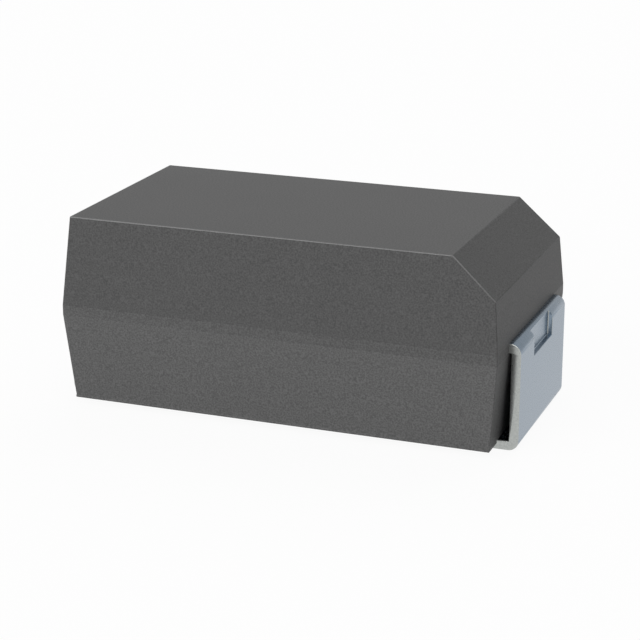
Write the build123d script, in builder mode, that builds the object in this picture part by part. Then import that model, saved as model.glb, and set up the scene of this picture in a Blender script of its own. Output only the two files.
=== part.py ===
from build123d import *
from math import radians, tan
import os

os.makedirs("parts", exist_ok=True)

# Moulded tantalum chip capacitor of the 6032-28 size.
# Lengths are in millimetres and angles in degrees.
# The board is the plane z = 0, the anode end points to +X and the front faces -Y.

# Driving sizes of the outside
overall_length = 6.0  # over the outer faces of both terminals
overall_height = 2.5  # from the board to the top of the case
stand_off = 0.1  # from the board to the case underside
case_width = 3.17  # at the parting land
parting_height = 1.295  # middle of the parting land and of the strips that leave there
land_height = 0.13  # flat band where the two mould halves meet
draft_angle = 5.0  # lean of every side wall away from the parting land
anode_bevel = 0.5  # each leg of the bevel on the top edge of the anode end
edge_radius = 0.03  # small round on the moulded edges

# Driving sizes of the terminal strips
strip_thickness = 0.12
strip_width = 2.16
foot_length = 1.3  # from the outer face of the leg to the end of the foot
bend_radius = 0.03  # inner radius of the folds outside the case
foot_clearance = 0.02  # air between the top of a foot and the case
foot_rim_clearance = 0.08  # air beside and behind a foot in its recess
recess_width = 0.9  # square recess in the anode leg
recess_bottom = 1.0  # lower edge of that recess above the board
recess_depth = 0.09  # measured from the outer face of the leg

# Driving sizes of what the case holds
tab_reach = 0.85  # from the anode end of the case to the end of the welding tab
tab_width = 1.0
tab_root = 0.35  # full-width part of the anode strip inside the case
wire_diameter = 0.3
weld_flat = 0.05  # how far the weld flattens the wire onto the tab
weld_length = 0.45
wire_free_length = 0.55  # between the pellet and the tab
wire_embedment = 1.2  # length of wire inside the pellet
washer_diameter = 0.9
washer_thickness = 0.2
side_wall = 0.25  # compound beside the coated pellet at its top
roof_wall = 0.25  # compound above the coated pellet
floor_wall = 0.38  # compound under the cathode paddle
cathode_end_space = 0.9  # from the cathode end of the case to the coated pellet
manganese_thickness = 0.04
graphite_thickness = 0.03
silver_thickness = 0.03
graphite_setback = 0.15  # how far the graphite stops short of the front of the coat under it
silver_setback = 0.1  # how far the silver stops short of the graphite
adhesive_thickness = 0.05
adhesive_margin = 0.12  # bare rim of the paddle round the adhesive
paddle_length = 1.7  # length of the paddle under the coated pellet
step_radius = 0.05  # inner radius of the two folds of the cathode step
step_clearance = 0.15  # from the coated pellet to the foot of the step
step_run = 0.15  # how far the step leans

# Places that follow from the driving sizes
case_length = overall_length - 2 * (strip_thickness + bend_radius)
case_end = case_length / 2
land_top = parting_height + land_height / 2
land_bottom = parting_height - land_height / 2
leg_middle = overall_length / 2 - strip_thickness / 2
foot_end = overall_length / 2 - foot_length
strip_top = parting_height + strip_thickness / 2
bend_middle_radius = bend_radius + strip_thickness / 2
step_middle_radius = step_radius + strip_thickness / 2

coat_thickness = manganese_thickness + graphite_thickness + silver_thickness
tab_end = case_end - tab_reach
wire_height = strip_top + wire_diameter / 2 - weld_flat
pellet_front = tab_end - wire_free_length
manganese_front = pellet_front + manganese_thickness
graphite_front = manganese_front - graphite_setback
silver_front = graphite_front - silver_setback
silver_back = cathode_end_space - case_end
pellet_back = silver_back + coat_thickness

paddle_middle = stand_off + floor_wall + strip_thickness / 2
silver_bottom = paddle_middle + strip_thickness / 2 + adhesive_thickness
silver_top = overall_height - roof_wall
pellet_middle_height = (silver_bottom + silver_top) / 2
pellet_height = silver_top - silver_bottom - 2 * coat_thickness
side_lean = tan(radians(draft_angle)) * (silver_top - land_top)
pellet_width = case_width - 2 * (side_lean + side_wall + coat_thickness)

paddle_end = silver_back + paddle_length
step_foot = silver_back - step_clearance
step_head = step_foot - step_run

# Anode terminal: one strip from the welding tab out through the case wall,
# down the leg and back under the case as the foot
with BuildPart() as anode_terminal:
    with BuildSketch(Plane.XZ):
        with BuildLine():
            FilletPolyline(
                (tab_end, parting_height),
                (leg_middle, parting_height),
                (leg_middle, strip_thickness / 2),
                (foot_end, strip_thickness / 2),
                radius=bend_middle_radius,
            )
        trace(line_width=strip_thickness)
    extrude(amount=strip_width / 2, both=True)

    # The strip narrows to the welding tab inside the case
    shoulder_width = (strip_width - tab_width) / 2
    shoulder_length = tab_reach - tab_root
    with BuildSketch(Plane.XY.offset(parting_height)):
        with Locations((tab_end + shoulder_length / 2, 0)):
            with GridLocations(0, tab_width + shoulder_width, 1, 2):
                Rectangle(shoulder_length, shoulder_width)
    extrude(amount=strip_thickness, both=True, mode=Mode.SUBTRACT)

    # Square recess in the outer face, open at the top of the fold
    with BuildSketch(Plane.YZ.offset(overall_length / 2)):
        with Locations((0, recess_bottom)):
            Rectangle(recess_width, strip_top - recess_bottom, align=(Align.CENTER, Align.MIN))
    extrude(amount=-recess_depth, mode=Mode.SUBTRACT)

# Cathode terminal: the same strip at the other end, stepped down inside the case
# to a paddle that lies under the pellet
with BuildPart() as cathode_terminal:
    with BuildSketch(Plane.XZ):
        with BuildLine():
            FilletPolyline(
                (-foot_end, strip_thickness / 2),
                (-leg_middle, strip_thickness / 2),
                (-leg_middle, parting_height),
                (step_head, parting_height),
                (step_foot, paddle_middle),
                (paddle_end, paddle_middle),
                radius=[bend_middle_radius, bend_middle_radius, step_middle_radius, step_middle_radius],
            )
        trace(line_width=strip_thickness)
    extrude(amount=strip_width / 2, both=True)

# Riser wire: pressed into the pellet and flattened on the tab where it is welded
with BuildPart() as riser_wire:
    with BuildSketch(Plane.YZ.offset(pellet_front - wire_embedment)):
        with Locations((0, wire_height)):
            Circle(wire_diameter / 2)
    extrude(amount=wire_embedment + wire_free_length + weld_length)
    add(anode_terminal.part, mode=Mode.SUBTRACT)


# A block as large as the pellet with its coats out to a given growth and front
def pellet_block(growth, front):
    back = pellet_back - growth
    with BuildPart() as block:
        with BuildSketch(Plane.YZ.offset(back)):
            with Locations((0, pellet_middle_height)):
                Rectangle(pellet_width + 2 * growth, pellet_height + 2 * growth)
        extrude(amount=front - back)
    return block.part


bare_block = pellet_block(0, pellet_front)
manganese_block = pellet_block(manganese_thickness, manganese_front)
graphite_block = pellet_block(manganese_thickness + graphite_thickness, graphite_front)
silver_block = pellet_block(coat_thickness, silver_front)

# Sintered tantalum pellet with the wire's blind hole
with BuildPart() as tantalum_anode:
    add(bare_block)
    add(riser_wire.part, mode=Mode.SUBTRACT)

# Manganese dioxide all over the pellet, but not over the wire
with BuildPart() as manganese_dioxide_coat:
    add(manganese_block)
    add(bare_block, mode=Mode.SUBTRACT)
    add(riser_wire.part, mode=Mode.SUBTRACT)

# Graphite cup, open at the wire's end
with BuildPart() as graphite_coat:
    add(graphite_block)
    add(manganese_block, mode=Mode.SUBTRACT)

# Silver cup, which stops a little short of the graphite
with BuildPart() as silver_coat:
    add(silver_block)
    add(graphite_block, mode=Mode.SUBTRACT)

# Washer round the wire, flat against the coated face of the pellet
with BuildPart() as wire_washer:
    with BuildSketch(Plane.YZ.offset(manganese_front)):
        with Locations((0, wire_height)):
            Circle(washer_diameter / 2)
            Circle(wire_diameter / 2, mode=Mode.SUBTRACT)
    extrude(amount=washer_thickness)

# Silver-filled adhesive between the paddle and the silver coat
adhesive_start = silver_back + adhesive_margin
adhesive_end = paddle_end - adhesive_margin
with BuildPart() as silver_adhesive:
    with BuildSketch(Plane.XY.offset(silver_bottom - adhesive_thickness)):
        with Locations(((adhesive_start + adhesive_end) / 2, 0)):
            Rectangle(adhesive_end - adhesive_start, strip_width - 2 * adhesive_margin)
    extrude(amount=adhesive_thickness)

# Moulded case: a flat land, and above and below it a half that leans inwards
with BuildPart() as moulded_case:
    with BuildSketch(Plane.XY.offset(land_bottom)):
        Rectangle(case_length, case_width)
    extrude(amount=stand_off - land_bottom)
    lower_sides = moulded_case.faces().filter_by(Axis.Z, reverse=True)
    draft(lower_sides, neutral_plane=Plane.XY.offset(land_bottom), angle=-draft_angle)
    with BuildSketch(Plane.XY.offset(land_bottom)):
        Rectangle(case_length, case_width)
    extrude(amount=land_height)
    with BuildSketch(Plane.XY.offset(land_top)):
        Rectangle(case_length, case_width)
    extrude(amount=overall_height - land_top, taper=draft_angle)

    # Bevel that marks the anode end
    top_face = moulded_case.faces().sort_by(Axis.Z)[-1]
    chamfer(top_face.edges().sort_by(Axis.X)[-1], length=anode_bevel)

    # Small rounds along the top, the bevel and the underside, while the land stays sharp
    upper_rims = moulded_case.edges().filter_by(
        lambda edge: edge.bounding_box().min.Z > land_top + edge_radius
    )
    lower_rims = moulded_case.edges().filter_by(
        lambda edge: edge.bounding_box().max.Z < land_bottom - edge_radius
    )
    fillet(upper_rims + lower_rims, radius=edge_radius)

    # Shallow recess over each foot, open at the end of the case
    foot_room = foot_length + foot_rim_clearance
    with BuildSketch(Plane.XY):
        with GridLocations(overall_length - foot_room, 0, 2, 1):
            Rectangle(foot_room, strip_width + 2 * foot_rim_clearance)
    extrude(amount=strip_thickness + foot_clearance, mode=Mode.SUBTRACT)

    # The compound is moulded round every piece that it holds
    for held in (
        anode_terminal,
        cathode_terminal,
        riser_wire,
        wire_washer,
        tantalum_anode,
        manganese_dioxide_coat,
        graphite_coat,
        silver_coat,
        silver_adhesive,
    ):
        add(held.part, mode=Mode.SUBTRACT)

moulded_case.part.label = "moulded_case"
anode_terminal.part.label = "anode_terminal"
cathode_terminal.part.label = "cathode_terminal"
tantalum_anode.part.label = "tantalum_anode"
riser_wire.part.label = "riser_wire"
wire_washer.part.label = "wire_washer"
manganese_dioxide_coat.part.label = "manganese_dioxide_coat"
graphite_coat.part.label = "graphite_coat"
silver_coat.part.label = "silver_coat"
silver_adhesive.part.label = "silver_adhesive"

export_step(moulded_case.part, "parts/moulded_case.step")
export_step(anode_terminal.part, "parts/anode_terminal.step")
export_step(cathode_terminal.part, "parts/cathode_terminal.step")
export_step(tantalum_anode.part, "parts/tantalum_anode.step")
export_step(riser_wire.part, "parts/riser_wire.step")
export_step(wire_washer.part, "parts/wire_washer.step")
export_step(manganese_dioxide_coat.part, "parts/manganese_dioxide_coat.step")
export_step(graphite_coat.part, "parts/graphite_coat.step")
export_step(silver_coat.part, "parts/silver_coat.step")
export_step(silver_adhesive.part, "parts/silver_adhesive.step")
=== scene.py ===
import math

import bmesh
import bpy
from mathutils import Matrix, Vector


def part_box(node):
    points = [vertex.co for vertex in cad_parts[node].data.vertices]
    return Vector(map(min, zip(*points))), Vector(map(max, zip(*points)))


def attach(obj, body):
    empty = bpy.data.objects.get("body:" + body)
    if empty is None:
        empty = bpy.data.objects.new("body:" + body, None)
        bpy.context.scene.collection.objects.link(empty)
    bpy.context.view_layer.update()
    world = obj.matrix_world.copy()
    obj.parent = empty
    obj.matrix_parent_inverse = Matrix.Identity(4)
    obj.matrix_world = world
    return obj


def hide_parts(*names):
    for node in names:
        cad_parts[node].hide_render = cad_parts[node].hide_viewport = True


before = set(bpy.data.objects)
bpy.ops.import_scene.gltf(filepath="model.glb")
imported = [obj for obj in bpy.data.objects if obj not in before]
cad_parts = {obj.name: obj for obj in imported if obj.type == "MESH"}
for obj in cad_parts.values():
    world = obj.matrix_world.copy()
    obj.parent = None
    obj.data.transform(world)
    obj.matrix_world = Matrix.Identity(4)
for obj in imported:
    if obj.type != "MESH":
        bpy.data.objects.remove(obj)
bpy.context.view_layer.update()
print("frame loaded:", ", ".join(sorted(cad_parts)))

# meshes are modelled in millimetres and brought to metres when they are finished
metresPerMm = 0.001
tiny = 0.0005  # mm, for picking vertices by their place
facing = 0.9  # a face faces along an axis when more than this part of its normal does
flatAngle = math.radians(0.1)  # faces that meet at less than this are one flat face
cornerAngle = math.radians(20)  # edges sharper than this are corners of the case's form
stripAngle = math.radians(60)  # edges sharper than this are corners of the strip, not facets of a fold
creaseAngle = math.radians(35)  # edges sharper than this aren't shaded smooth
areaWeight = 100  # wide faces settle the shading alone, so they stay flat


def nodeBox(name):
    low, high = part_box(name)
    return low / metresPerMm, high / metresPerMm


caseLow, caseHigh = nodeBox("moulded_case")
anodeLow, anodeHigh = nodeBox("anode_terminal")
cathodeHigh = nodeBox("cathode_terminal")[1]
silverLow = nodeBox("silver_coat")[0]
adhesiveLow = nodeBox("silver_adhesive")[0]


# colour and node helpers

def linearColour(hexColour):
    channels = [int(hexColour[i:i + 2], 16) / 255 for i in (1, 3, 5)]
    linear = [c / 12.92 if c <= 0.04045 else ((c + 0.055) / 1.055) ** 2.4 for c in channels]
    return (*linear, 1.0)


def addNode(tree, kind, settings=None, links=None):
    # both go by socket or property name, or by socket number where several share a name
    node = tree.nodes.new(kind)
    for key, value in (settings or {}).items():
        if isinstance(key, int) or key in node.inputs:
            node.inputs[key].default_value = value
        else:
            setattr(node, key, value)
    for key, source in (links or {}).items():
        tree.links.new(source, node.inputs[key])
    return node


def newMaterial(name):
    material = bpy.data.materials.new(name)
    material.use_nodes = True
    material.node_tree.nodes.clear()
    return material, material.node_tree


# materials

noiseSpan = {"From Min": 0.3, "From Max": 0.7}  # nearly all values of a noise lie between these


def epoxyMouldingCompound(name, look):
    # silica-filled epoxy, moulded in spark-eroded steel: dull dark grey with a fine even grain and a
    # weak wide sheen at a low angle; the lower half is painted paler, as painted light from below
    material, tree = newMaterial(name)
    place = addNode(tree, "ShaderNodeTexCoord").outputs["Object"]
    filler = addNode(tree, "ShaderNodeTexNoise",
                     {"Scale": 1 / (look["grainMm"] * metresPerMm), "Detail": 1.0, "Roughness": 0.5},
                     {"Vector": place})
    cloud = addNode(tree, "ShaderNodeTexNoise",
                    {"Scale": 1 / (look["cloudMm"] * metresPerMm), "Detail": 2.0}, {"Vector": place})
    share = addNode(tree, "ShaderNodeMapRange", noiseSpan, {"Value": filler.outputs["Fac"]})
    tone = addNode(tree, "ShaderNodeMix",
                   {"data_type": "RGBA", 6: linearColour(look["darkHex"]),
                    7: linearColour(look["lightHex"])}, {0: share.outputs["Result"]})
    drift = addNode(tree, "ShaderNodeMapRange",
                    {**noiseSpan, "To Min": 1 - look["cloudShare"], "To Max": 1 + look["cloudShare"]},
                    {"Value": cloud.outputs["Fac"]})
    height = addNode(tree, "ShaderNodeSeparateXYZ", links={"Vector": place}).outputs["Z"]
    # three steps of painted light from below: palest on the lower half, less on the land, none on the
    # upper half
    halves = addNode(tree, "ShaderNodeMapRange",
                     {"interpolation_type": "STEPPED", "Steps": 2.0,
                      "From Min": (landBottom - caseForm["landHeight"]) * metresPerMm,
                      "From Max": (landTop + caseForm["landHeight"]) * metresPerMm,
                      "To Min": look["paintedUnderLight"], "To Max": 1.0}, {"Value": height})
    level = addNode(tree, "ShaderNodeMath", {"operation": "MULTIPLY"},
                    {0: drift.outputs["Result"], 1: halves.outputs["Result"]})
    colour = addNode(tree, "ShaderNodeVectorMath", {"operation": "SCALE"},
                     {0: tone.outputs[2], "Scale": level.outputs["Value"]})
    bump = addNode(tree, "ShaderNodeBump", {"Strength": 1.0, "Distance": look["bumpMm"] * metresPerMm},
                   {"Height": filler.outputs["Fac"]})
    surface = addNode(tree, "ShaderNodeBsdfPrincipled",
                      {"Roughness": look["roughness"], "IOR": look["ior"],
                       "Specular IOR Level": look["specular"]},
                      {"Base Color": colour.outputs["Vector"], "Normal": bump.outputs["Normal"]})
    addNode(tree, "ShaderNodeOutputMaterial", links={"Surface": surface.outputs["BSDF"]})
    return material


def mattMetal(name, look):
    # matt tin plate over a rolled strip: a pale cool grey metal, satin rather than shiny, with a faint
    # crystal grain in its tone and its gloss; the same recipe, paler and more neutral, is a sheared
    # edge, and paler still a painted highlight on the fold
    material, tree = newMaterial(name)
    place = addNode(tree, "ShaderNodeTexCoord").outputs["Object"]
    crystals = addNode(tree, "ShaderNodeTexNoise",
                       {"Scale": 1 / (look["grainMm"] * metresPerMm), "Detail": 2.0, "Roughness": 0.6},
                       {"Vector": place})
    share = addNode(tree, "ShaderNodeMapRange", noiseSpan, {"Value": crystals.outputs["Fac"]})
    tone = addNode(tree, "ShaderNodeMix",
                   {"data_type": "RGBA", 6: linearColour(look["darkHex"]),
                    7: linearColour(look["lightHex"])}, {0: share.outputs["Result"]})
    gloss = addNode(tree, "ShaderNodeMapRange",
                    {**noiseSpan, "To Min": look["roughness"] - look["roughnessSpread"],
                     "To Max": look["roughness"] + look["roughnessSpread"]},
                    {"Value": crystals.outputs["Fac"]})
    bump = addNode(tree, "ShaderNodeBump", {"Strength": 1.0, "Distance": look["bumpMm"] * metresPerMm},
                   {"Height": crystals.outputs["Fac"]})
    surface = addNode(tree, "ShaderNodeBsdfPrincipled", {"Metallic": 1.0},
                      {"Base Color": tone.outputs[2], "Roughness": gloss.outputs["Result"],
                       "Normal": bump.outputs["Normal"]})
    addNode(tree, "ShaderNodeOutputMaterial", links={"Surface": surface.outputs["BSDF"]})
    return material


def hiddenPieceMaterial(name, look):
    # one recipe for the pieces inside the case: two tones, a grain and a bump of real size
    material, tree = newMaterial(name)
    place = addNode(tree, "ShaderNodeTexCoord").outputs["Object"]
    fine = addNode(tree, "ShaderNodeTexNoise",
                   {"Scale": 1 / (look["grainMm"] * metresPerMm), "Detail": 3.0, "Roughness": 0.6},
                   {"Vector": place})
    share = addNode(tree, "ShaderNodeMapRange", noiseSpan, {"Value": fine.outputs["Fac"]})
    tone = addNode(tree, "ShaderNodeMix",
                   {"data_type": "RGBA", 6: linearColour(look["darkHex"]),
                    7: linearColour(look["lightHex"])}, {0: share.outputs["Result"]})
    bump = addNode(tree, "ShaderNodeBump", {"Strength": 1.0, "Distance": look["bumpMm"] * metresPerMm},
                   {"Height": fine.outputs["Fac"]})
    surface = addNode(tree, "ShaderNodeBsdfPrincipled",
                      {"Metallic": look["metallic"], "Roughness": look["roughness"]},
                      {"Base Color": tone.outputs[2], "Normal": bump.outputs["Normal"]})
    addNode(tree, "ShaderNodeOutputMaterial", links={"Surface": surface.outputs["BSDF"]})
    return material


# mesh helpers

def finishPiece(bm, name, materials, node):
    bmesh.ops.recalc_face_normals(bm, faces=bm.faces)
    bmesh.ops.scale(bm, vec=(metresPerMm,) * 3, verts=bm.verts)
    for edge in bm.edges:
        edge.smooth = edge.smooth and edge.calc_face_angle(0) < creaseAngle
    mesh = bpy.data.meshes.new(name)
    bm.to_mesh(mesh)
    bm.free()
    mesh.shade_smooth()
    for material in materials:
        mesh.materials.append(material)
    piece = bpy.data.objects.new(name, mesh)
    bpy.context.scene.collection.objects.link(piece)
    even = piece.modifiers.new("evenFaces", "WEIGHTED_NORMAL")
    even.weight = areaWeight
    even.keep_sharp = True
    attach(piece, "root")
    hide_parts(node)


def openEdges(bm):
    return sum(not edge.is_manifold for edge in bm.edges)


def regionOf(faces):
    edges = {edge for face in faces for edge in face.edges}
    verts = {vert for face in faces for vert in face.verts}
    return [*faces, *edges, *verts]


def drawOut(bm, faces, vector):
    # extrudes the faces as one region, moves it by the vector and gives its new faces and vertices
    grown = bmesh.ops.extrude_face_region(bm, geom=regionOf(faces))["geom"]
    verts = [item for item in grown if isinstance(item, bmesh.types.BMVert)]
    bmesh.ops.translate(bm, vec=vector, verts=verts)
    return [item for item in grown if isinstance(item, bmesh.types.BMFace)], verts


def roundEdges(bm, edges, radius, steps):
    return bmesh.ops.bevel(bm, geom=edges, offset=radius, offset_type="OFFSET", segments=steps,
                           profile=0.5, affect="EDGES", clamp_overlap=True, material=-1)["faces"]


# moulded case

caseForm = {
    "landHeight": 0.13,  # flat band where the mould halves meet
    "draft": math.radians(5.0),
    "bevel": 0.5,  # legs of the bevel at the anode end
    "edgeRadius": 0.012,
    "edgeSteps": 3,
    "footRoom": 0.08,  # air beside and behind each foot
    "footAir": 0.02,  # air above each foot
}
caseFace = {
    "darkHex": "#474747",
    "lightHex": "#595959",
    "paintedUnderLight": 1.35,  # how much paler the lower half is painted: painted light from below
    "grainMm": 0.02,  # clusters of the coarsest filler grains
    "cloudMm": 0.9,  # slow change of tone across a face
    "cloudShare": 0.012,
    "roughness": 0.5,
    "ior": 1.52,
    "specular": 0.1,
    "bumpMm": 0.0006,
}
caseEdge = {**caseFace, "roughness": 0.35, "specular": 0.8, "bumpMm": 0.0}  # resin-rich skin, smoother
caseEnd = {**caseFace, "paintedUnderLight": 1.15}  # below the land the ends are painted less pale than the sides: weaker painted light from below, as painted shade where the legs shade them
skinFinish = 1  # place of the edge skin in the case's list of materials
endFinish = 2  # and of the end faces

terminalForm = {
    "thickness": 0.12,
    "foldRadius": 0.01,  # inner radius of the folds outside the case
    "foldSteps": 16,
    "shearRadius": 0.009,  # small round of the sheared edges, less than the fold's inner radius
    "shearSteps": 3,
    "footLength": 1.3,
    "recessWidth": 0.9,
    "recessBottom": 1.015,
    "recessDepth": 0.063,
    "recessLip": 0.008,  # round of its outer edge
    "recessLean": 0.0005,  # how far its walls lean
    "recessHollow": 0.016,  # hollow round between its walls and its floor
    "recessSteps": 5,
    "tabWidth": 1.0,
    "tabRoot": 0.35,  # full-width strip inside the case
    "stepClearance": 0.15,  # between the coated pellet and the foot of the cathode step
    "stepRun": 0.15,
    "stepRadius": 0.05,
    "stepFoldSteps": 8,
}

# places that the case and the strips share
partingHeight = anodeHigh.z - terminalForm["thickness"] / 2
landTop = partingHeight + caseForm["landHeight"] / 2
landBottom = partingHeight - caseForm["landHeight"] / 2
footCeiling = terminalForm["thickness"] + caseForm["footAir"]
legOuter = anodeHigh.x
stripHalfWidth = anodeHigh.y


def drawHalf(bm, face, rise):
    # draws a face up or down by rise and leans the new walls inwards by the draft
    size = Vector((max(v.co.x for v in face.verts), max(v.co.y for v in face.verts)))
    inset = math.tan(caseForm["draft"]) * abs(rise)
    faces, verts = drawOut(bm, [face], (0, 0, rise))
    bmesh.ops.scale(bm, vec=((size.x - inset) / size.x, (size.y - inset) / size.y, 1), verts=verts)
    return faces[0]


def mouldedCase(materials):
    bm = bmesh.new()
    land = Matrix.Translation((0, 0, partingHeight)) @ Matrix.Diagonal(
        (caseHigh.x - caseLow.x, caseHigh.y - caseLow.y, caseForm["landHeight"], 1))
    bmesh.ops.create_cube(bm, size=1, matrix=land)
    byHeight = sorted(bm.faces, key=lambda face: face.calc_center_median().z)
    topFace = drawHalf(bm, byHeight[-1], caseHigh.z - landTop)
    drawHalf(bm, byHeight[0], footCeiling - landBottom)

    # bevel on the top edge of the anode end
    anodeEdge = max(topFace.edges, key=lambda edge: sum(v.co.x for v in edge.verts))
    bmesh.ops.bevel(bm, geom=[anodeEdge], offset=caseForm["bevel"], offset_type="OFFSET", segments=1,
                    profile=0.5, affect="EDGES", material=-1)

    # the underside stands lower than the feet's recesses
    recessSide = stripHalfWidth + caseForm["footRoom"]
    recessEnd = legOuter - terminalForm["footLength"] - caseForm["footRoom"]
    cuts = [((0, recessSide, 0), (0, 1, 0)), ((0, -recessSide, 0), (0, 1, 0)),
            ((recessEnd, 0, 0), (1, 0, 0)), ((-recessEnd, 0, 0), (1, 0, 0))]
    sole = regionOf([min(bm.faces, key=lambda face: face.calc_center_median().z)])
    for point, direction in cuts:
        sole = bmesh.ops.bisect_plane(bm, geom=sole, dist=tiny, plane_co=point,
                                      plane_no=direction)["geom"]
    pads = []
    for face in sole:
        if isinstance(face, bmesh.types.BMFace):
            centre = face.calc_center_median()
            if abs(centre.x) < recessEnd or abs(centre.y) > recessSide:
                pads.append(face)
    drawOut(bm, pads, (0, 0, caseLow.z - footCeiling))
    bmesh.ops.dissolve_limit(bm, angle_limit=flatAngle, verts=bm.verts, edges=bm.edges)

    # small rounds on the moulded edges, while the land's rims and the foot recesses stay sharp
    soleInset = math.tan(caseForm["draft"]) * (landBottom - footCeiling) + tiny
    rounded = []
    for edge in bm.edges:
        heights = sorted(vert.co.z for vert in edge.verts)
        onRim = landBottom - tiny < heights[0] and heights[1] < landTop + tiny
        level = heights[1] - heights[0] < tiny
        centre = (edge.verts[0].co + edge.verts[1].co) / 2
        inSole = heights[1] < footCeiling + tiny
        onOutline = abs(centre.x) > caseHigh.x - soleInset or abs(centre.y) > caseHigh.y - soleInset
        if level and onRim:
            edge.smooth = False
        elif inSole and not (heights[1] < caseLow.z + tiny and onOutline):
            edge.smooth = edge.calc_face_angle(0) < cornerAngle
        elif edge.calc_face_angle(0) > cornerAngle:
            rounded.append(edge)
    skin = roundEdges(bm, rounded, caseForm["edgeRadius"], caseForm["edgeSteps"])
    bm.normal_update()
    wallLean = 0.15  # more than the draft, so only the long top edges and the bevel's sides count
    for face in skin:
        if abs(face.normal.y) > wallLean and face.normal.z > wallLean:
            face.material_index = skinFinish
    # the end faces carry the weaker painted light from below
    for face in bm.faces:
        if abs(face.normal.x) > facing and face.calc_center_median().z < landTop:
            face.material_index = endFinish
    print("moulded case: open edges", openEdges(bm))
    finishPiece(bm, "mouldedCase", materials, "moulded_case")


# terminals, each drawn and folded from one upright section of strip
# the growing end is kept as its faces, the middle of its section and its heading in the XZ plane

tinPlate = {
    "darkHex": "#7d8b97",
    "lightHex": "#8592a0",
    "grainMm": 0.05,  # crystals, coarser than the real ones so that they show
    "roughness": 0.28,
    "roughnessSpread": 0.02,
    "bumpMm": 0.0003,
}
shearedEdge = {
    "darkHex": "#a3a6a4",
    "lightHex": "#b4b7b4",
    "grainMm": 0.03,
    "roughness": 0.29,
    "roughnessSpread": 0.02,
    "bumpMm": 0.0001,
}
# the round along the outside of the fold is painted paler and made smoother: a painted highlight
paintedFoldHighlight = {
    **shearedEdge,
    "darkHex": "#b6b9b7",
    "lightHex": "#c5c8c5",
    "roughness": 0.15,
    "bumpMm": 0.0,
}
shearedFinish = 1  # place of the sheared edge in the strips' list of materials
foldHighlightFinish = 2  # and of the fold's painted highlight


def stripSection(bm, x, z, columns):
    # one upright face across the strip, split at the given distances from the middle
    section = Matrix.Translation((x, 0, z)) @ Matrix.Rotation(math.pi / 2, 4, "Y") @ Matrix.Diagonal(
        (terminalForm["thickness"], 2 * stripHalfWidth, 1, 1))
    bmesh.ops.create_grid(bm, x_segments=1, y_segments=1, size=0.5, matrix=section)
    for column in columns:
        for side in (-column, column):
            bmesh.ops.bisect_plane(bm, geom=[*bm.faces, *bm.edges, *bm.verts], dist=tiny,
                                   plane_co=(0, side, 0), plane_no=(0, 1, 0))
    return {"faces": list(bm.faces), "place": Vector((x, 0, z)), "heading": 0.0}


def runStrip(bm, end, distance):
    step = Vector((math.cos(end["heading"]), 0, math.sin(end["heading"]))) * distance
    end["faces"], verts = drawOut(bm, end["faces"], step)
    end["place"] += step


def foldStrip(bm, end, angle, innerRadius, steps):
    # a positive angle folds upwards for a strip that heads to +X
    middle = math.copysign(innerRadius + terminalForm["thickness"] / 2, angle)
    centre = end["place"] + Vector((-math.sin(end["heading"]), 0, math.cos(end["heading"]))) * middle
    spun = bmesh.ops.spin(bm, geom=regionOf(end["faces"]), cent=centre, axis=(0, -1, 0), angle=angle,
                          steps=steps, use_merge=False, use_duplicate=False)
    end["faces"] = [item for item in spun["geom_last"] if isinstance(item, bmesh.types.BMFace)]
    end["place"] = centre + Matrix.Rotation(angle, 3, (0, -1, 0)) @ (end["place"] - centre)
    end["heading"] += angle


def recessProfile():
    # distance from the recess's outline and depth there: rounded lip, steep wall, hollow round, floor
    form = terminalForm
    steps = form["recessSteps"]
    foot = form["recessDepth"] - form["recessHollow"]
    wallFoot = form["recessLip"] + form["recessLean"]
    profile = []
    for step in range(steps):
        turn = step / (steps - 1) * math.pi / 2
        profile.append((form["recessLip"] * math.sin(turn), form["recessLip"] * (1 - math.cos(turn))))
    for step in range(steps + 1):
        turn = step / steps * math.pi / 2
        profile.append((wallFoot + form["recessHollow"] * (1 - math.cos(turn)),
                        foot + form["recessHollow"] * math.sin(turn)))
    return profile


def pressedDepth(profile, distance):
    for (nearer, shallow), (farther, deep) in zip(profile, profile[1:]):
        if distance < farther:
            return shallow + (deep - shallow) * (distance - nearer) / (farther - nearer)
    return profile[-1][1]


def foldOutside(bm, end, profile):
    # from the case wall round the leg to the end of the foot, with rings where the recess needs them
    form = terminalForm
    outerRadius = form["thickness"] + form["foldRadius"]
    recessTurn = math.asin((outerRadius - form["recessDepth"]) / outerRadius)
    share = recessTurn / (math.pi / 2)
    before = round(share * form["foldSteps"])
    runStrip(bm, end, legOuter - outerRadius - end["place"].x)
    foldStrip(bm, end, -recessTurn, form["foldRadius"], before)
    foldStrip(bm, end, recessTurn - math.pi / 2, form["foldRadius"], form["foldSteps"] - before)
    for distance, depth in reversed(profile):
        runStrip(bm, end, end["place"].z - form["recessBottom"] - distance)
    runStrip(bm, end, form["recessBottom"] - outerRadius)
    foldStrip(bm, end, -math.pi / 2, form["foldRadius"], form["foldSteps"])
    runStrip(bm, end, form["footLength"] - outerRadius)


def roundSheared(bm):
    # rounds the edges that the shears left along both sides of the strip
    sheared = []
    for edge in bm.edges:
        onSide = all(abs(abs(vert.co.y) - stripHalfWidth) < tiny for vert in edge.verts)
        if onSide and edge.calc_face_angle(0) > stripAngle:
            sheared.append(edge)
    rounded = set(roundEdges(bm, sheared, terminalForm["shearRadius"], terminalForm["shearSteps"]))
    bm.normal_update()
    foldFoot = anodeHigh.z - terminalForm["thickness"] - terminalForm["foldRadius"]
    upward = 0.1  # more than this and a face at the fold looks upwards
    for face in bm.faces:
        centre = face.calc_center_median()
        onSide = abs(centre.y) > stripHalfWidth - tiny
        onFootEnd = abs(face.normal.x) > facing and centre.z < terminalForm["thickness"]
        onFootEnd = onFootEnd and abs(centre.x) < legOuter - terminalForm["footLength"] + tiny
        # painted highlight: the upward rounds at the top of the fold get the paler finish
        if face in rounded and centre.z > foldFoot and face.normal.z > upward:
            face.material_index = foldHighlightFinish
        elif onSide or onFootEnd or face in rounded:
            face.material_index = shearedFinish


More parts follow.
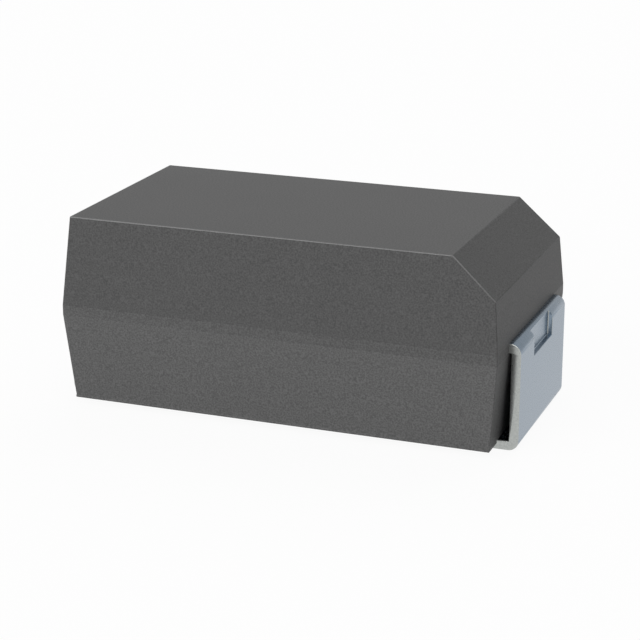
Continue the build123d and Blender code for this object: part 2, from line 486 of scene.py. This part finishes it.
def pressRecess(bm, profile):
    # presses the outer skin of the leg back, by the profile, between the two middle columns
    form = terminalForm
    half = form["recessWidth"] / 2
    bm.normal_update()
    outward = 0.05  # more than this and a face is on the outside of the leg or the fold
    roundLean = (0.3, 0.97)  # sideways part of the normal on the side walls' rounds, not on the walls
    skin = set()
    for face in bm.faces:
        centre = face.calc_center_median()
        outer = centre.x > caseHigh.x and max(face.normal.x, face.normal.z) > outward
        if outer and abs(centre.y) < half and centre.z > form["recessBottom"]:
            skin.update(face.verts)
    for vert in skin:
        distance = min(half - abs(vert.co.y), vert.co.z - form["recessBottom"])
        vert.co.x = min(vert.co.x, legOuter - pressedDepth(profile, max(distance, 0)))
    bm.normal_update()
    bmesh.ops.dissolve_limit(bm, angle_limit=flatAngle, verts=bm.verts, edges=bm.edges)
    bmesh.ops.recalc_face_normals(bm, faces=bm.faces)
    for face in bm.faces:
        centre = face.calc_center_median()
        inRecess = abs(centre.y) < half and centre.z > form["recessBottom"] and centre.x > caseHigh.x
        if inRecess and roundLean[0] < abs(face.normal.y) < roundLean[1]:
            face.material_index = shearedFinish  # painted highlight: the paler sheared-edge finish draws light lines along the recess's rounds


def anodeTerminal(materials):
    form = terminalForm
    bm = bmesh.new()
    root = caseHigh.x - form["tabRoot"]
    profile = recessProfile()
    columns = [form["recessWidth"] / 2 - distance for distance, depth in profile]
    end = stripSection(bm, root, partingHeight, (form["tabWidth"] / 2, *columns))
    tab = [face for face in end["faces"] if abs(face.calc_center_median().y) < form["tabWidth"] / 2]
    runStrip(bm, end, form["tabRoot"])
    foldOutside(bm, end, profile)
    drawOut(bm, tab, (anodeLow.x - root, 0, 0))
    bmesh.ops.recalc_face_normals(bm, faces=bm.faces)
    pressRecess(bm, profile)
    roundSheared(bm)
    print("anode terminal: open edges", openEdges(bm))
    finishPiece(bm, "anodeTerminal", materials, "anode_terminal")


def cathodeTerminal(materials):
    # folded at the anode's side, then mirrored to its own end
    form = terminalForm
    bm = bmesh.new()
    paddleMiddle = adhesiveLow.z - form["thickness"] / 2
    paddleEnd = -cathodeHigh.x
    stepFoot = -silverLow.x + form["stepClearance"]
    rise = partingHeight - paddleMiddle
    turn = math.atan2(rise, form["stepRun"])
    tangent = (form["stepRadius"] + form["thickness"] / 2) * math.tan(turn / 2)
    end = stripSection(bm, paddleEnd, paddleMiddle, ())
    runStrip(bm, end, stepFoot - paddleEnd - tangent)
    foldStrip(bm, end, turn, form["stepRadius"], form["stepFoldSteps"])
    runStrip(bm, end, math.hypot(form["stepRun"], rise) - 2 * tangent)
    foldStrip(bm, end, -turn, form["stepRadius"], form["stepFoldSteps"])
    runStrip(bm, end, caseHigh.x - end["place"].x)
    foldOutside(bm, end, [(0.0, 0.0)])  # no recess at this end
    bmesh.ops.scale(bm, vec=(-1, 1, 1), verts=bm.verts)
    bmesh.ops.recalc_face_normals(bm, faces=bm.faces)
    roundSheared(bm)
    print("cathode terminal: open edges", openEdges(bm))
    finishPiece(bm, "cathodeTerminal", materials, "cathode_terminal")


caseMaterials = (epoxyMouldingCompound("epoxyMouldingCompound", caseFace),
                 epoxyMouldingCompound("epoxyEdgeSkin", caseEdge),
                 epoxyMouldingCompound("epoxyEndFace", caseEnd))
mouldedCase(caseMaterials)
stripMaterials = (mattMetal("mattTinPlate", tinPlate), mattMetal("shearedStripEdge", shearedEdge),
                  mattMetal("foldCornerPaintedHighlight", paintedFoldHighlight))
anodeTerminal(stripMaterials)
cathodeTerminal(stripMaterials)

# pieces sealed in the case keep their solids and get their own finish
hiddenLooks = {
    "tantalum_anode": ("sinteredTantalum", {
        "darkHex": "#46474b", "lightHex": "#62636a", "grainMm": 0.02, "bumpMm": 0.004,
        "metallic": 0.7, "roughness": 0.75}),
    "riser_wire": ("drawnTantalumWire", {
        "darkHex": "#6f727b", "lightHex": "#7f828b", "grainMm": 0.03, "bumpMm": 0.0005,
        "metallic": 1.0, "roughness": 0.35}),
    "wire_washer": ("skivedPtfe", {
        "darkHex": "#e4e4e0", "lightHex": "#f0f0ec", "grainMm": 0.06, "bumpMm": 0.001,
        "metallic": 0.0, "roughness": 0.5}),
    "manganese_dioxide_coat": ("firedManganeseDioxide", {
        "darkHex": "#141312", "lightHex": "#24221f", "grainMm": 0.03, "bumpMm": 0.004,
        "metallic": 0.0, "roughness": 0.8}),
    "graphite_coat": ("dippedGraphite", {
        "darkHex": "#2a2a2c", "lightHex": "#3a3a3d", "grainMm": 0.02, "bumpMm": 0.001,
        "metallic": 0.3, "roughness": 0.55}),
    "silver_coat": ("silverPaint", {
        "darkHex": "#b4b4b0", "lightHex": "#cacac6", "grainMm": 0.02, "bumpMm": 0.001,
        "metallic": 0.9, "roughness": 0.5}),
    "silver_adhesive": ("silverFilledAdhesive", {
        "darkHex": "#9c9c98", "lightHex": "#b2b2ae", "grainMm": 0.03, "bumpMm": 0.002,
        "metallic": 0.6, "roughness": 0.6}),
}
for nodeName, (materialName, look) in hiddenLooks.items():
    finish = hiddenPieceMaterial(materialName, look)
    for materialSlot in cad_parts[nodeName].material_slots:
        materialSlot.material = finish
print("hidden pieces finished:", len(hiddenLooks))


# floor, world and lights

studio = {
    "floorHalf": 0.6,
    "floorHex": "#e6e6e6",
    "floorWhite": 0.94,  # how far the floor is plain white to the camera, the rest keeps the shadow
    "wallHex": "#dedede",  # the room beyond the floor, as seen and as mirrored
    "lampDistance": 0.3,
    "worldLevel": 0.08,  # light that the pale room gives the object
}


def backgroundRays(tree):
    # 1 for the camera and for what metal and glass reflect or pass, but never as light on the object,
    # nor by way of a metal that a matt surface sees
    path = addNode(tree, "ShaderNodeLightPath")
    seen = addNode(tree, "ShaderNodeMath", {"operation": "MAXIMUM"},
                   {0: path.outputs["Is Camera Ray"], 1: path.outputs["Is Glossy Ray"]})
    seen = addNode(tree, "ShaderNodeMath", {"operation": "MAXIMUM"},
                   {0: seen.outputs["Value"], 1: path.outputs["Is Transmission Ray"]})
    direct = addNode(tree, "ShaderNodeMath", {"operation": "LESS_THAN", 1: 0.5},
                     {0: path.outputs["Diffuse Depth"]})
    direct = addNode(tree, "ShaderNodeMath", {"operation": "MULTIPLY"},
                     {0: seen.outputs["Value"], 1: direct.outputs["Value"]})
    return direct.outputs["Value"]


def paleRoom():
    world = bpy.data.worlds.new("paleRoom")
    bpy.context.scene.world = world
    world.use_nodes = True
    tree = world.node_tree
    tree.nodes.clear()
    light = addNode(tree, "ShaderNodeBackground",
                    {"Color": linearColour("#ffffff"), "Strength": studio["worldLevel"]})
    shown = addNode(tree, "ShaderNodeBackground",
                    {"Color": linearColour(studio["wallHex"]), "Strength": 1.0})
    mix = addNode(tree, "ShaderNodeMixShader", links={
        0: backgroundRays(tree), 1: light.outputs["Background"], 2: shown.outputs["Background"]})
    addNode(tree, "ShaderNodeOutputWorld", links={"Surface": mix.outputs["Shader"]})


def paleFloor():
    bm = bmesh.new()
    bmesh.ops.create_grid(bm, x_segments=1, y_segments=1, size=studio["floorHalf"])
    mesh = bpy.data.meshes.new("floor")
    bm.to_mesh(mesh)
    bm.free()
    material, tree = newMaterial("paleFloorPaint")
    paint = addNode(tree, "ShaderNodeBsdfDiffuse", {"Color": linearColour(studio["floorHex"])})
    white = addNode(tree, "ShaderNodeEmission", {"Color": linearColour("#ffffff"), "Strength": 1.0})
    share = addNode(tree, "ShaderNodeMath", {"operation": "MULTIPLY", 1: studio["floorWhite"]},
                    {0: backgroundRays(tree)})
    mix = addNode(tree, "ShaderNodeMixShader", links={
        0: share.outputs["Value"], 1: paint.outputs["BSDF"], 2: white.outputs["Emission"]})
    addNode(tree, "ShaderNodeOutputMaterial", links={"Surface": mix.outputs["Shader"]})
    mesh.materials.append(material)
    floor = bpy.data.objects.new("floor", mesh)
    bpy.context.scene.collection.objects.link(floor)


def directionFrom(azimuth, elevation):
    a, e = math.radians(azimuth), math.radians(elevation)
    return Vector((math.sin(a) * math.cos(e), -math.cos(a) * math.cos(e), math.sin(e)))


# level 1 alone would light a white card that faces the lamp to white
softLamps = {
    "high": {"azimuth": 10, "elevation": 55, "size": 0.2, "level": 0.12},
    "highRight": {"azimuth": 50, "elevation": 52, "size": 0.14, "level": 0.12},
    "frontLeft": {"azimuth": -30, "elevation": 25, "size": 0.3, "level": 0.64},
    "left": {"azimuth": -90, "elevation": 30, "size": 0.3, "level": 0.12},
    # these two aren't mirrored, because the fold would show them as bright bands
    "behindRight": {"azimuth": 130, "elevation": 20, "size": 0.6, "level": 0.13, "mirrored": False},
    "behind": {"azimuth": 180, "elevation": 50, "size": 0.3, "level": 0.44, "mirrored": False},
}


def softLamp(name, lamp):
    data = bpy.data.lights.new(name, "AREA")
    data.shape = "DISK"
    data.size = lamp["size"]
    distance = studio["lampDistance"]
    data.energy = lamp["level"] * math.pi ** 2 * (distance ** 2 + lamp["size"] ** 2 / 4)
    item = bpy.data.objects.new(name, data)
    item.visible_camera = False
    item.visible_glossy = lamp.get("mirrored", True)
    towards = directionFrom(lamp["azimuth"], lamp["elevation"])
    aim = Vector((0, 0, caseHigh.z / 2)) * metresPerMm
    item.location = aim + towards * distance
    item.rotation_mode = "QUATERNION"
    item.rotation_quaternion = (-towards).to_track_quat("-Z", "Y")
    bpy.context.scene.collection.objects.link(item)


paleRoom()
paleFloor()
for lampName, lampValues in softLamps.items():
    softLamp(lampName, lampValues)
print("studio ready")

# camera, solved from the edges of the case and the terminal in the photograph
cameraView = {
    "azimuth": 20.691,  # degrees from the front towards the anode end
    "elevation": 17.897,
    "distance": 0.0252946,  # metres from the target
    "target": (0.0000352, 0.0, 0.001009),
    "lens": 110.034,
    "sensorWidth": 36,  # millimetres, like the lens
    "clipStart": 0.001,
    "clipEnd": 5,
}


def photoCamera():
    data = bpy.data.cameras.new("photoCamera")
    data.sensor_width = cameraView["sensorWidth"]
    data.lens = cameraView["lens"]
    data.clip_start = cameraView["clipStart"]
    data.clip_end = cameraView["clipEnd"]
    camera = bpy.data.objects.new("photoCamera", data)
    towards = directionFrom(cameraView["azimuth"], cameraView["elevation"])
    camera.location = Vector(cameraView["target"]) + towards * cameraView["distance"]
    camera.rotation_mode = "QUATERNION"
    camera.rotation_quaternion = (-towards).to_track_quat("-Z", "Y")
    bpy.context.scene.collection.objects.link(camera)
    bpy.context.scene.camera = camera


photoCamera()
bpy.context.scene.view_settings.view_transform = "Standard"

print("scene ready")
